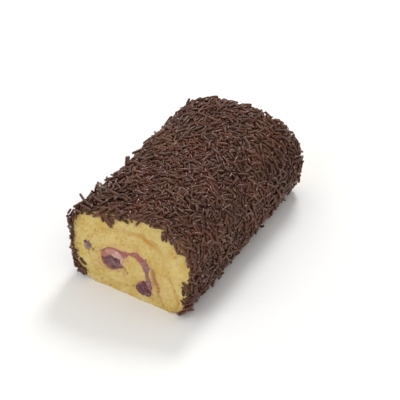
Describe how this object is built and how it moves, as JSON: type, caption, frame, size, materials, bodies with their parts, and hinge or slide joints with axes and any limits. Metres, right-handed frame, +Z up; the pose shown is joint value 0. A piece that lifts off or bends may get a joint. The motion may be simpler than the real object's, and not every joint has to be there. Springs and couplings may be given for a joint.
{
  "type": "swiss roll cake",
  "caption": "Swiss roll piece with a domed top and flat base: rolled yellow sponge with cream filling and cherries shown at both cut ends, its top and sides coated in chocolate sprinkles.",
  "frame": {"origin": "under the middle of the whole, on the flat base", "axes": "+X across the roll, +Y along the roll away from the shown cut end, +Z up"},
  "size_m": [0.0836, 0.1356, 0.0526],
  "materials": {
    "sponge": "open crumb, matt",
    "cream": "soft, moist, pink with juice",
    "cherry": "wet, glossy",
    "chocolate": "satin"
  },
  "bodies": {
    "root": {"sponge": "sponge", "filling": "cream", "cherry_front_1": "cherry", "cherry_front_2": "cherry", "cherry_front_3": "cherry", "cherry_back_1": "cherry", "cherry_back_2": "cherry", "cherry_back_3": "cherry", "sprinkle_coat": "chocolate"}
  },
  "joints": []
}
